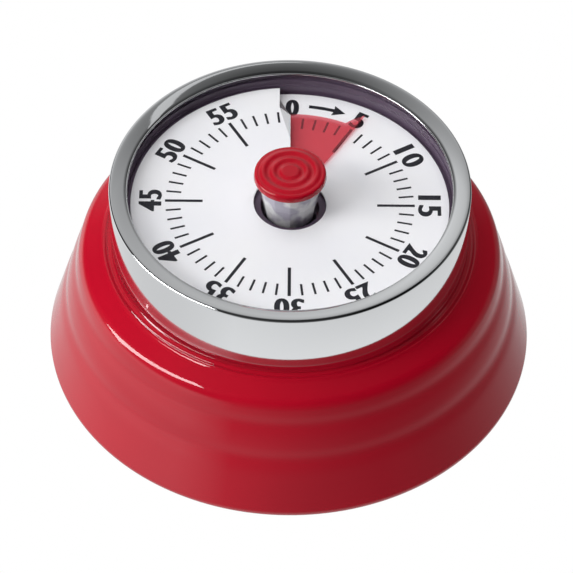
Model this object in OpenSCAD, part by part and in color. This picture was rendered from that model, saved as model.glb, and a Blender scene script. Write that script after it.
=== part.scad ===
// Mechanical sixty minute kitchen timer on a magnetic foot.
// A lacquered bell shaped body carries a chromed bezel, a slit spiral dial and a clear
// window that is one piece with the knob stem. The coloured time disc is keyed on the
// stem and threads through the slit of the dial as the knob turns.
// Origin: centre of the resting face. +Z is up, +Y points at the zero of the dial.
// Dial angles run clockwise from +Y, seen from above.

/* [Body] */
// Largest radius of the body, just above its foot
body_r = 34.8; // [34.7:0.1:35.1]
// Radius of the body at the top of its side wall
shoulder_r = 30.12; // [30:0.02:30.4]
// Height of the top of the side wall
shoulder_z = 19; // [18.8:0.1:19.1]
// Depth of the two shallow grooves round the side wall
groove_depth = 0.15; // [0:0.01:0.3]
// Height at which the bezel stands on the body
seat_z = 21.7; // [21.6:0.05:21.8]
// Thickness of the body wall
wall = 1.6; // [1.2:0.1:1.8]

/* [Bezel and window] */
// Outer radius of the chromed bezel
bezel_r = 25.45; // [25.4:0.05:25.55]
// Radius of the opening inside the bezel's rolled lip
lip_r = 22.85; // [22.7:0.05:23]
// Height of the top of the bezel
bezel_top = 32.35; // [32.3:0.05:32.6]
// Radius of the clear window
window_r = 24.6; // [24.2:0.1:24.8]
// Thickness of the clear window
window_t = 0.7; // [0.5:0.05:0.72]

/* [Dial and time disc] */
// Outer radius of the dial
dial_r = 22.5; // [22:0.1:22.7]
// Radius of the hole in the dial
dial_hole_r = 5.1; // [5:0.1:5.5]
// Height of the dial's upper face where it starts, at zero minutes
dial_low = 28.15; // [28:0.05:28.3]
// Rise of the dial in one turn
dial_pitch = 1.3; // [1.2:0.05:1.4]
// Thickness of the dial sheet
dial_t = 0.3; // [0.2:0.05:0.35]
// Outer radius of the time disc
film_r = 17.8; // [17.5:0.1:18.4]
// Radius of the tip of the time disc's pointer
pointer_r = 20.5; // [19.5:0.1:20.6]
// Thickness of the time disc
film_t = 0.2; // [0.15:0.05:0.25]
// Minutes that the timer is set to
set_minutes = 5.2; // [0:0.1:55]

/* [Knob] */
// Radius of the knob cap
cap_r = 5.1; // [4.8:0.05:5.3]
// Height of the underside of the knob cap
cap_z = 34; // [33.8:0.05:34.3]
// Thickness of the cap's rim
cap_h = 1.2; // [1:0.05:1.3]
// Radius of the clear stem under the cap
stem_top_r = 4.5; // [4.4:0.05:4.6]
// Radius of the clear stem at its lower end
stem_low_r = 3.6; // [3.5:0.05:3.65]

/* [Movement] */
// Radius of the two movement plates
plate_r = 26; // [25.8:0.1:26.2]
// Height of the underside of the lower plate
lower_plate_z = 8.6; // [8.5:0.1:8.7]
// Height of the underside of the upper plate
upper_plate_z = 17.2; // [17.1:0.1:17.2]
// Thickness of the movement plates
plate_t = 1; // [0.9:0.1:1]
// Radial clearance of a turning pivot in its hole
pivot_gap = 0.05; // [0.03:0.01:0.08]

/* [Base] */
// Outer radius of the ring magnet
magnet_r = 20; // [18:0.5:20]
// Thickness of the ring magnet
magnet_t = 3; // [2.5:0.5:3]
// Outer radius of the soft foot ring
foot_r = 31.2; // [31:0.1:31.3]
// Height of the body's lower rim above the resting face
rim_z = 1.4; // [1.3:0.05:1.5]

/* [Hidden] */
$fn = 96;

red = "#b3122a";
plum = "#503c50";
steel = "#b8bcc2";
brass = "#c9a24a";
eps = 0.01;
casing_r = 25;
housing_in = 23;
floor_z = 25.4;
floor_t = 1;
window_z = bezel_top - 1.5;
flange_r = 26.4;
upper_top = upper_plate_z + plate_t;
lower_top = lower_plate_z + plate_t;
base_low = 0.4;
plate_top = rim_z + 1.2;
skin_t = 0.6;
magnet_low = base_low + skin_t;
magnet_top = magnet_low + magnet_t;
magnet_hole_r = 3;

// Where the arbors of the train stand: radius from the middle and direction in degrees.
wheel_m = 0.4;
second_m = 0.35;
third_m = 0.3;
main_teeth = 72;
second_teeth = 60;
third_teeth = 60;
leaves = 8;
escape_teeth = 15;
second_rad = wheel_m * (main_teeth + leaves) / 2;
third_rad = 17;
third_gap = second_m * (second_teeth + leaves) / 2;
escape_gap = third_m * (third_teeth + leaves) / 2;
pallet_rad = 17.5;
pallet_gap = 6.6;
balance_gap = 8;
function turn_between(a, b, c) = acos((a * a + b * b - c * c) / (2 * a * b));
third_dir = turn_between(second_rad, third_rad, third_gap);
escape_dir = third_dir + turn_between(third_rad, third_rad, escape_gap);
pallet_dir = escape_dir + turn_between(third_rad, pallet_rad, pallet_gap);
balance_dir = pallet_dir + turn_between(pallet_rad, pallet_rad, balance_gap);
hammer_rad = 17.6;
hammer_dir = 215;
function at(rad, dir) = [rad * cos(dir), rad * sin(dir), 0];
second_at = at(second_rad, 0);
third_at = at(third_rad, third_dir);
escape_at = at(third_rad, escape_dir);
pallet_at = at(pallet_rad, pallet_dir);
balance_at = at(pallet_rad, balance_dir);
hammer_at = at(hammer_rad, hammer_dir);
pivots = [second_at, third_at, escape_at, pallet_at, balance_at];
function heading(from, to) = atan2(to[1] - from[1], to[0] - from[0]);

// Heights of the wheels between the plates.
arbor_r = 2;
main_z = 12.6;
ratchet_z = 13.5;
cam_z = 14.5;
second_z = 15.6;
third_z = 13.8;
escape_z = 11.2;
lever_z = 12;
balance_z = 10.2;
spring_z = 10;
shaft_r = 0.6;
pivot_r = 0.4;
pillar_dirs = [-39, 68, 160, 250];
pillar_rad = 24.3;
housing_screw_dirs = [20, 140, 285];
base_screw_rad = 26.6;
base_screw_dirs = [90, 210, 330];

// ---------- shared shapes ----------

module at_dirs(rad, dirs) {
    for (dir = dirs) translate(at(rad, dir)) rotate(dir) children();
}

module disc(z0, z1, r) {
    translate([0, 0, z0]) cylinder(h = z1 - z0, r = r);
}

module ring(z0, z1, r_in, r_out) {
    difference() {
        disc(z0, z1, r_out);
        disc(z0 - 1, z1 + 1, r_in);
    }
}

// Toothed outline: tooth 0 points along +X. width is the tooth's share of the pitch.
function gear_outline(n, m, add, ded, width) =
    [for (i = [0:n - 1]) let (p = 360 / n, c = i * p, r = n * m / 2)
        each [for (s = [[-0.36, -ded], [-width / 2, -0.1], [-width / 3.2, add * 0.6], [-width / 9, add],
                        [width / 9, add], [width / 3.2, add * 0.6], [width / 2, -0.1], [0.36, -ded]])
            (r + s[1] * m) * [cos(c + s[0] * p), sin(c + s[0] * p)]]];

// A crossed out wheel with round windows between its spokes.
module wheel(n, m, z, t, bore, phase, windows, window_rad, window_size) {
    translate([0, 0, z]) difference() {
        rotate(phase) linear_extrude(t) polygon(gear_outline(n, m, 0.8, 1.1, 0.36));
        translate([0, 0, -1]) cylinder(h = t + 2, r = bore);
        for (i = [0:windows - 1]) rotate(i * 360 / windows)
            translate([window_rad, 0, -1]) cylinder(h = t + 2, r = window_size);
    }
}

module pinion(n, m, z0, z1, phase) {
    translate([0, 0, z0]) rotate(phase)
        linear_extrude(z1 - z0) polygon(gear_outline(n, m, 0.7, 1.15, 0.32));
}

// Steel shaft between the plates with a thinner pivot at each end.
module shaft() {
    disc(lower_top + 0.3, upper_plate_z - 0.3, shaft_r);
    disc(lower_plate_z + 0.2, upper_top - 0.2, pivot_r);
}

// Flat spiral strip wound outwards from r0, gaining step in each turn.
function spiral(r0, step, turns, n) =
    [for (i = [0:turns * n]) let (a = i * 360 / n) (r0 + step * i / n) * [cos(a), sin(a)]];
module spiral_strip(r0, step, turns, t, z, h, n) {
    inner = spiral(r0, step, turns, n);
    outer = spiral(r0 + t, step, turns, n);
    count = len(outer);
    translate([0, 0, z]) linear_extrude(h)
        polygon(concat(inner, [for (i = [count - 1:-1:0]) outer[i]]));
}

// Helical sheet, like one turn of a screw thread. Each row of points holds one angle.
// Its radii are r_in and out(u) and its ends lie at the angles a0 and a1.
function sheet_point(r, a, z) = [r * sin(a), r * cos(a), z];
function grid_faces(rows, cols) = concat(
    [for (i = [0:rows - 2], j = [0:cols - 1]) let (k = (j + 1) % cols)
        each [[i * cols + j, i * cols + k, (i + 1) * cols + k],
              [i * cols + j, (i + 1) * cols + k, (i + 1) * cols + j]]],
    [[for (j = [cols - 1:-1:0]) j]],
    [[for (j = [0:cols - 1]) (rows - 1) * cols + j]]);

// Angle by which the lower end of the dial runs on under its upper end.
dial_lap = 5;
function rise(a) = dial_low + dial_pitch * a / 360;

// ---------- casing ----------

// Side wall: a cone with two faint grooves, so that it reads as three soft bands.
side_low = rim_z + 1.4;
function side_r(z) = body_r + (shoulder_r - body_r) * (z - side_low) / (shoulder_z - side_low)
    - groove_depth * exp(-pow((z - 11.1) / 1.3, 2))
    - groove_depth * exp(-pow((z - 16.6) / 1.2, 2));
function arc(cx, cz, r, a0, a1, n) = [for (i = [0:n]) let (a = a0 + (a1 - a0) * i / n)
    [cx + r * cos(a), cz + r * sin(a)]];
side_tilt = 16;
rim_bend = 1.1;
shoulder_bend = 2.4;
bead = 0.42;

module body_outline() {
    polygon(concat(
        [[body_r - wall - 0.2, rim_z]],
        arc(body_r - rim_bend * cos(side_tilt), rim_z + rim_bend, rim_bend, -90, side_tilt - 4, 5),
        [for (z = [side_low:0.6:shoulder_z - 0.1]) [side_r(z), z]],
        arc(shoulder_r - shoulder_bend * cos(side_tilt), shoulder_z - shoulder_bend * sin(side_tilt),
            shoulder_bend, side_tilt, 66, 6),
        arc(bezel_r + 1, seat_z - bead, bead, 35, 120, 4),
        [[bezel_r + 0.45, seat_z - 0.2], [bezel_r + 0.02, seat_z], [casing_r, seat_z],
         [casing_r, upper_top + 1.2], [flange_r + 0.1, upper_top + 1.2], [flange_r + 0.1, upper_top + 0.7],
         [shoulder_r - wall - 0.7, shoulder_z + 1], [shoulder_r - wall, shoulder_z],
         [body_r - wall - 0.2, rim_z + 1.1]]));
}

module body_shell() {
    color(red) {
        difference() {
            union() {
                rotate_extrude() body_outline();
                at_dirs(base_screw_rad, base_screw_dirs) {
                    disc(plate_top, 7.6, 2);
                    translate([1, -0.6, plate_top]) cube([body_r - wall - 0.5 - base_screw_rad - 1, 1.2, 3]);
                }
            }
            at_dirs(base_screw_rad, base_screw_dirs) disc(1, 6.6, 0.8);
        }
    }
}

// The lip falls by lip_drop from the outer edge to the opening.
lip_drop = 0.5;
module chrome_bezel() {
    color("silver") rotate_extrude() polygon(concat(
        [[casing_r, seat_z], [bezel_r, seat_z]],
        arc(bezel_r - 0.35, bezel_top - 0.35, 0.35, 0, 92, 6),
        [[(bezel_r + lip_r) / 2, bezel_top - 0.15]],
        arc(lip_r + 0.12, bezel_top - lip_drop - 0.12, 0.12, 70, 255, 4),
        [[casing_r - 0.3, bezel_top - 0.72], [casing_r, bezel_top - 1]]));
}

module dial_housing() {
    color(plum) {
        difference() {
            union() {
                ring(upper_top, window_z - 0.05, housing_in, casing_r);
                ring(upper_top, upper_top + 1.15, housing_in, flange_r);
                disc(floor_z, floor_z + floor_t, housing_in + 0.5);
                ring(floor_z - 1.2, floor_z, stem_low_r + pivot_gap, stem_low_r + 1.6);
            }
            disc(floor_z - 2, floor_z + 2, stem_low_r + pivot_gap);
            at_dirs(pillar_rad - 0.1, housing_screw_dirs) disc(upper_top - 1, upper_top + 4, 0.6);
        }
    }
}

// Ledge under the rim of the dial. Its top follows the rise of the dial.
module dial_seat() {
    rows = 60;
    r_in = housing_in - 2.1;
    r_out = housing_in - 0.05;
    low = floor_z + floor_t;
    color(plum) polyhedron(
        points = [for (i = [0:rows]) let (a = i * 359.5 / rows - dial_lap, top = rise(a) - dial_t - 0.01)
            each [sheet_point(r_in, a, low), sheet_point(r_out, a, low),
                  sheet_point(r_out, a, top), sheet_point(r_in, a, top)]],
        faces = grid_faces(rows + 1, 4), convexity = 6);
}

// Slit disc that climbs by one pitch in a turn. Its upper end stops short of the
// lower one beyond notch_in, so that the print at zero stays in sight.
module dial_disc() {
    notch_in = 16.9;
    notch_out = 18.6;
    notch = 1.6;
    rows = 120;
    radii = [dial_hole_r, notch_in, notch_out, dial_r];
    cuts = [0, 0, notch, notch];
    color("white") polyhedron(
        points = [for (i = [0:rows]) each concat(
            [for (k = [0:3]) let (r = radii[k], last = 360 - cuts[k] / r * 180 / PI,
                a = -dial_lap + (last + dial_lap) * i / rows) sheet_point(r, a, rise(a))],
            [for (k = [3:-1:0]) let (r = radii[k], last = 360 - cuts[k] / r * 180 / PI,
                a = -dial_lap + (last + dial_lap) * i / rows) sheet_point(r, a, rise(a) - dial_t)])],
        faces = grid_faces(rows + 1, 8), convexity = 8);
}

module window_knob() {
    socket_top = 27.2;
    color("#e6ecf2", 0.4) difference() {
        union() {
            disc(window_z, window_z + window_t, window_r);
            translate([0, 0, socket_top])
                cylinder(h = cap_z - socket_top, r1 = stem_low_r + 0.02, r2 = stem_top_r, $fn = 12);
            disc(floor_z - 1, socket_top, stem_low_r);
        }
        disc(floor_z - 2, socket_top - 0.2, arbor_r);
        disc(cap_z - 1.2, cap_z + 1, 1.2);
    }
}

// A raised button and two rings stand on the cap, one ring_gap apart.
module knob_cap() {
    ripple = 0.2;
    button_r = 1.04;
    ring_gap = 1.38;
    flat_r = cap_r - 0.42;
    color(red) {
        rotate_extrude() polygon(concat(
            [[0, cap_z], [cap_r - 0.3, cap_z]],
            arc(cap_r - 0.3, cap_z + 0.3, 0.3, -70, 30, 3),
            [for (i = [0:30]) let (r = flat_r * (1 - i / 30), out = max(r - button_r, 0))
                [r, cap_z + cap_h + ripple * (1 + cos(360 * out / ring_gap)) / 2]]));
        disc(cap_z - 1.15, cap_z + 0.1, 1.2);
    }
}

// The disc fills one whole turn behind its leading edge, half a pitch above the dial.
module time_disc() {
    lead = set_minutes * 6.04;
    rows = 90;
    flare = 5;
    film_in = 4.15;
    mid = dial_pitch / 2 - dial_t / 2;
    function out_r(a) = let (t = (a - lead + flare) / flare) t <= 0 ? film_r
        : film_r + (pointer_r - film_r) * pow(t, 0.85);
    angles = concat([for (i = [0:rows - 1]) lead - 359.5 + (359.5 - flare) * i / (rows - 1)],
                    [for (i = [1:6]) lead - flare + flare * i / 6]);
    color("#c84852") polyhedron(
        points = [for (a = angles) each [
            sheet_point(film_in, a, rise(a) + mid + film_t / 2),
            sheet_point(out_r(a), a, rise(a) + mid + film_t / 2),
            sheet_point(out_r(a), a, rise(a) + mid - film_t / 2),
            sheet_point(film_in, a, rise(a) + mid - film_t / 2)]],
        faces = grid_faces(len(angles), 4), convexity = 8);
}

// ---------- going train ----------

module main_arbor() {
    color(steel) {
        disc(lower_plate_z + 0.1, lower_top + 0.2, 1.2);
        disc(lower_top + 0.15, 27, arbor_r);
    }
}

// Rim with one notch: the hammer's tail rides on it and drops in at zero.
module zero_cam() {
    cam_r = 6.5;
    color(steel) difference() {
        disc(cam_z, cam_z + 0.8, cam_r);
        disc(cam_z - 1, cam_z + 2, arbor_r);
        rotate(hammer_dir - set_minutes * 6.04)
            translate([cam_r, 0, cam_z - 1]) cylinder(h = 3, r = 1.5);
    }
}

ratchet_r = 4.4;
ratchet_teeth = 14;
module ratchet_wheel() {
    color(steel) translate([0, 0, ratchet_z]) difference() {
        linear_extrude(0.8) polygon([for (i = [0:ratchet_teeth - 1]) each [
            ratchet_r * [cos(i * 360 / ratchet_teeth), sin(i * 360 / ratchet_teeth)],
            (ratchet_r - 0.8) * [cos(i * 360 / ratchet_teeth + 3), sin(i * 360 / ratchet_teeth + 3)]]]);
        translate([0, 0, -1]) cylinder(h = 3, r = arbor_r);
    }
}

module main_wheel() {
    color(brass) difference() {
        wheel(main_teeth, wheel_m, main_z, 0.8, arbor_r + pivot_gap, 0, 6, 10.3, 2.3);
        translate(click_at) disc(main_z - 1, main_z + 2, 0.4);
        translate(foot_at) disc(main_z - 1, main_z + 2, 0.3);
    }
}

click_at = at(6.3, 40);
foot_at = at(6.6, 128);
module click() {
    tip = (ratchet_r - 0.25) * [cos(-12), sin(-12)];
    color(steel) difference() {
        union() {
            translate(click_at) disc(ratchet_z, ratchet_z + 0.7, 0.85);
            translate([0, 0, ratchet_z]) linear_extrude(0.7) polygon([
                [click_at[0] - 0.6, click_at[1] - 0.5], tip + [0.5, 0.5], tip + [0.85, 0.1],
                [click_at[0] + 0.75, click_at[1] - 0.3]]);
        }
        translate(click_at) disc(ratchet_z - 1, ratchet_z + 2, 0.4);
    }
}

// Wire that presses on the back of the click, with its foot in the main wheel.
module click_spring() {
    wire = 0.2;
    wire_r = norm(foot_at);
    color(steel) {
        translate([0, 0, ratchet_z]) linear_extrude(0.4) polygon(concat(
            arc(0, 0, wire_r + wire / 2, 50, 128, 12), arc(0, 0, wire_r - wire / 2, 128, 50, 12)));
        translate(foot_at) disc(main_z, ratchet_z + 0.4, 0.3);
    }
}

module click_rivet() {
    color(steel) translate(click_at) {
        disc(main_z, ratchet_z + 0.72, 0.4);
        disc(ratchet_z + 0.72, ratchet_z + 0.95, 0.75);
    }
}

module mainspring() {
    color("slategray") spiral_strip(2.3, 1.12, 6, 0.25, spring_z, 2.2, 30);
}

module spring_post() {
    color(steel) translate([9.95, 0, 0]) disc(lower_plate_z, spring_z + 2.4, 0.65);
}

module second_wheel() {
    color(brass) translate(second_at) {
        shaft();
        pinion(leaves, wheel_m, main_z - 0.3, main_z + 1.1, 180 + 180 / leaves);
        rotate(heading(second_at, third_at))
            wheel(second_teeth, second_m, second_z, 0.5, 0.3, 0, 5, 6.2, 1.8);
    }
}

module third_wheel() {
    color(brass) translate(third_at) {
        shaft();
        pinion(leaves, second_m, second_z - 0.4, second_z + 0.9, heading(third_at, second_at) + 180 / leaves);
        rotate(heading(third_at, escape_at))
            wheel(third_teeth, third_m, third_z, 0.5, 0.3, 0, 5, 5.3, 1.5);
    }
}

module escape_wheel() {
    tip_r = 5;
    color(brass) translate(escape_at) {
        shaft();
        pinion(leaves, third_m, third_z - 0.4, third_z + 0.9, heading(escape_at, third_at) + 180 / leaves);
        translate([0, 0, escape_z]) linear_extrude(0.6) polygon([for (i = [0:escape_teeth - 1])
            let (p = 360 / escape_teeth, c = i * p) each [
                3.6 * [cos(c), sin(c)], tip_r * [cos(c + 7), sin(c + 7)], tip_r * [cos(c + 9), sin(c + 9)],
                3.6 * [cos(c + 11), sin(c + 11)]]]);
    }
}

// Anchor with two pins that straddle the escape wheel, and a fork towards the balance.
module bar(from, to, w) {
    translate(from) rotate(heading(from, to)) translate([0, -w / 2]) square([norm(to - from), w]);
}
module pallet_lever() {
    pin_rad = 5.55;
    pin_turn = 30;
    back = heading(escape_at, pallet_at);
    pins = [for (side = [-1, 1]) escape_at + at(pin_rad, back + side * pin_turn)];
    fork = pallet_at + at(5.2, heading(pallet_at, balance_at));
    color(steel) {
        translate(pallet_at) shaft();
        translate([0, 0, lever_z]) linear_extrude(0.4) {
            bar(pallet_at, pins[0], 0.9);
            bar(pallet_at, pins[1], 0.9);
            bar(pallet_at, fork, 1);
            translate(pallet_at) circle(r = 1.2);
            translate(pins[0]) circle(r = 0.45);
            translate(pins[1]) circle(r = 0.45);
        }
        translate(pins[0]) disc(escape_z, lever_z + 0.2, 0.25);
        translate(pins[1]) disc(escape_z, lever_z + 0.2, 0.25);
    }
}

module balance_wheel() {
    rim_r = 6.3;
    color(brass) translate(balance_at) {
        shaft();
        ring(balance_z, balance_z + 0.7, rim_r - 1, rim_r);
        for (i = [0:2]) rotate(i * 120) translate([0, -0.5, balance_z]) cube([rim_r - 0.8, 1, 0.5]);
        disc(lever_z, lever_z + 0.4, 1.5);
        rotate(heading(balance_at, pallet_at)) translate([1.9, 0, 0]) {
            translate([-0.8, -0.3, lever_z]) cube([0.8, 0.6, 0.4]);
        }
    }
}

module hairspring() {
    color("slategray") translate(balance_at) spiral_strip(0.9, 0.62, 5, 0.12, 11.1, 0.4, 30);
}

module hairspring_stud() {
    color(brass) translate(balance_at + [4.6, 0, 0]) difference() {
        disc(11, upper_plate_z, 0.5);
        translate([-2, -1, 10]) cube([1.65, 2, 1.6]);
    }
}

// ---------- frame of the movement ----------

module pivot_holes() {
    for (p = pivots) translate(p) disc(0, 30, pivot_r + pivot_gap);
    translate(hammer_at) disc(0, 30, shaft_r + pivot_gap);
    at_dirs(pillar_rad, pillar_dirs) disc(0, 30, 0.8);
}

module lower_plate() {
    color(steel) difference() {
        disc(lower_plate_z, lower_top, plate_r);
        disc(0, 20, 1.2 + pivot_gap);
        pivot_holes();
        translate([9.95, 0, 0]) disc(0, 30, 0.65);
    }
}

module upper_plate() {
    color(steel) difference() {
        disc(upper_plate_z, upper_top, plate_r);
        disc(0, 20, arbor_r + pivot_gap);
        pivot_holes();
        at_dirs(pillar_rad - 0.1, housing_screw_dirs) disc(0, 30, 0.65);
    }
}

// Four spacers. The upper ends are riveted in the plate, the lower ends take nuts.
module pillars() {
    color(brass) at_dirs(pillar_rad, pillar_dirs) {
        disc(lower_top, upper_plate_z, 1.4);
        disc(lower_plate_z - 1.2, upper_top, 0.8);
    }
}

module pillar_nuts() {
    color(steel) at_dirs(pillar_rad, pillar_dirs) difference() {
        translate([0, 0, lower_plate_z - 1]) cylinder(h = 1, r = 1.6, $fn = 6);
        disc(0, 20, 0.8);
    }
}

module housing_screws() {
    color(steel) at_dirs(pillar_rad - 0.1, housing_screw_dirs) difference() {
        union() {
            disc(upper_plate_z - 0.7, upper_plate_z, 1.2);
            disc(upper_plate_z - 0.1, upper_top + 3.5, 0.6);
        }
        translate([-2, -0.15, upper_plate_z - 0.7 - eps]) cube([4, 0.3, 0.3]);
    }
}

// ---------- striking work ----------

bell_r = 14;
bell_low = 4.9;
bell_rim = 7;
bell_t = 0.6;
// Arbor through both plates, a tail towards the cam and a headed arm under the lower plate.
module hammer() {
    head_at = at(16.2, hammer_dir + 24);
    head_r = 1.3;
    arm_z = lower_plate_z - 1.4;
    color(steel) {
        translate(hammer_at) disc(arm_z + 0.5, upper_top - 0.2, shaft_r);
        translate([0, 0, cam_z]) linear_extrude(0.8) {
            bar(hammer_at, at(7.3, hammer_dir), 1);
            translate(hammer_at) circle(r = head_r);
        }
        translate([0, 0, arm_z]) linear_extrude(1) {
            bar(hammer_at, head_at, 1);
            translate(hammer_at) circle(r = head_r - 0.1);
            translate(head_at) circle(r = head_r - 0.1);
        }
        translate(head_at) disc(bell_low + 0.6, arm_z + 0.5, head_r);
    }
}

// Shallow dish with its rim upwards.
module bell() {
    color("silver") rotate_extrude() polygon([
        [1.5, bell_low], [bell_r - 2.6, bell_low], [bell_r - 1, bell_low + 0.5], [bell_r, bell_low + 1.5],
        [bell_r, bell_rim], [bell_r - bell_t, bell_rim], [bell_r - bell_t, bell_low + 1.7],
        [bell_r - 1.4, bell_low + 1], [bell_r - 2.8, bell_low + bell_t], [1.5, bell_low + bell_t]]);
}

module bell_post() {
    color(brass) difference() {
        disc(bell_low + bell_t, lower_plate_z, 2.6);
        disc(0, 20, 1);
    }
}

module bell_screw() {
    color(steel) difference() {
        union() {
            disc(bell_low - 0.7, bell_low, 2.2);
            disc(bell_low - 0.1, lower_plate_z - 0.3, 1);
        }
        translate([-3, -0.25, bell_low - 0.7 - eps]) cube([6, 0.5, 0.3]);
    }
}

// ---------- base ----------

backing_r = 24;
backing_t = 0.6;
backing_screw_rad = 22.2;
backing_screw_dirs = [30, 150, 270];
foot_w = 2.4;
foot_groove = 0.6;
module base_plate() {
    color("#202224") difference() {
        union() {
            disc(rim_z + 0.1, plate_top, body_r - wall - 0.4);
            disc(base_low, plate_top, foot_r + 0.4);
            disc(base_low, magnet_top, backing_r + 0.4);
        }
        disc(magnet_low, 10, magnet_r + 0.1);
        ring(0, base_low + foot_groove, foot_r - foot_w - 0.05, foot_r + 0.05);
        at_dirs(base_screw_rad, base_screw_dirs) {
            disc(0, 10, 0.85);
            disc(0, 1.3, 1.75);
        }
        at_dirs(backing_screw_rad, backing_screw_dirs) disc(1.5, 10, 0.6);
    }
}

module magnet_ring() {
    color("dimgray") ring(magnet_low, magnet_top, magnet_hole_r, magnet_r);
}

module magnet_backing() {
    color(steel) difference() {
        ring(magnet_top, magnet_top + backing_t, magnet_hole_r, backing_r);
        at_dirs(backing_screw_rad, backing_screw_dirs) disc(0, 10, 0.65);
    }
}

module backing_screws() {
    color(steel) at_dirs(backing_screw_rad, backing_screw_dirs) difference() {
        union() {
            disc(1.8, magnet_top + backing_t + 0.1, 0.6);
            disc(magnet_top + backing_t, magnet_top + backing_t + 0.6, 1.1);
        }
        translate([-2, -0.15, magnet_top + backing_t + 0.35]) cube([4, 0.3, 0.4]);
    }
}

module base_screws() {
    color(steel) at_dirs(base_screw_rad, base_screw_dirs) difference() {
        union() {
            disc(1.2, 6.4, 0.8);
            disc(base_low + 0.1, 1.3, 1.7);
        }
        translate([-2, -0.2, 0]) cube([4, 0.4, 0.8]);
    }
}

module foot_ring() {
    color("#2b2b2e") ring(0, base_low + foot_groove, foot_r - foot_w, foot_r);
}

body_shell();
chrome_bezel();
dial_housing();
dial_seat();
dial_disc();
window_knob();
knob_cap();
time_disc();
main_arbor();
zero_cam();
ratchet_wheel();
main_wheel();
click();
click_spring();
click_rivet();
mainspring();
spring_post();
second_wheel();
third_wheel();
escape_wheel();
pallet_lever();
balance_wheel();
hairspring();
hairspring_stud();
lower_plate();
upper_plate();
pillars();
pillar_nuts();
housing_screws();
hammer();
bell();
bell_post();
bell_screw();
base_plate();
magnet_ring();
magnet_backing();
backing_screws();
base_screws();
foot_ring();
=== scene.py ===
"""Looks of a mechanical kitchen timer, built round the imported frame.

Each sub-assembly is a class that builds its own meshes and dresses them. Sizes are in
millimetres in the fields and become metres when a mesh is placed.
"""

import logging
import math
from dataclasses import dataclass
from enum import Enum
from typing import Optional, Sequence

import bmesh
import bpy
from mathutils import Matrix, Vector

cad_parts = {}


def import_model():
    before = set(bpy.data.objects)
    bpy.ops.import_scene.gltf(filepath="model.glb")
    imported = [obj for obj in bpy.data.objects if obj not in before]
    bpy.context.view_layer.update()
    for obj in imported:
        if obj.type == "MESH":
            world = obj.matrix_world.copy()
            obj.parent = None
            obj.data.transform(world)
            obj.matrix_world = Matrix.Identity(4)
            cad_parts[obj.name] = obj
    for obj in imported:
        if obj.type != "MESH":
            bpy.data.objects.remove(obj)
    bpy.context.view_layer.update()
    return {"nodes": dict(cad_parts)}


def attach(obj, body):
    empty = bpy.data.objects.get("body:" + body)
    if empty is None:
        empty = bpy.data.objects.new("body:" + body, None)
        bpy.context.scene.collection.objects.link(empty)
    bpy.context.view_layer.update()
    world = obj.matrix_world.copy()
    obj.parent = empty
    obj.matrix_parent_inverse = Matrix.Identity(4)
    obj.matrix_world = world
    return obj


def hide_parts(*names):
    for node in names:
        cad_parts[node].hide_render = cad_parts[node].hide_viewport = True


LOG = logging.getLogger("timer")
MM = 0.001

ProfilePoint = tuple[float, float]
Socket = bpy.types.NodeSocket


class Body(str, Enum):
    """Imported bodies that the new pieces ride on."""

    CASE = "case"
    KNOB = "knob"
    FILM = "time_film"


# ---------------------------------------------------------------- colours and nodes


def linear(hex_colour: str, alpha: float = 1.0) -> tuple[float, float, float, float]:
    """Turn an sRGB hex colour to linear light.

    Args:
        hex_colour: Six hex digits, with or without a leading hash.
        alpha: Fourth value of the result.

    Returns:
        Red, green, blue and alpha.
    """
    digits = hex_colour.lstrip("#")
    parts = [int(digits[i : i + 2], 16) / 255 for i in (0, 2, 4)]
    light = [c / 12.92 if c <= 0.04045 else ((c + 0.055) / 1.055) ** 2.4 for c in parts]
    return (*light, alpha)


def add_node(
    tree: bpy.types.NodeTree,
    kind: str,
    settings: Optional[dict] = None,
    inputs: Optional[dict] = None,
) -> bpy.types.Node:
    """Add one node to a tree.

    Args:
        tree: The node tree.
        kind: Node type name.
        settings: Properties to set on the node.
        inputs: Input name or number to a value, or to a socket to link from.

    Returns:
        The new node.
    """
    made = tree.nodes.new(kind)
    for name, value in (settings or {}).items():
        setattr(made, name, value)
    for name, value in (inputs or {}).items():
        if isinstance(value, Socket):
            tree.links.new(value, made.inputs[name])
        else:
            made.inputs[name].default_value = value
    return made


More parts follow.
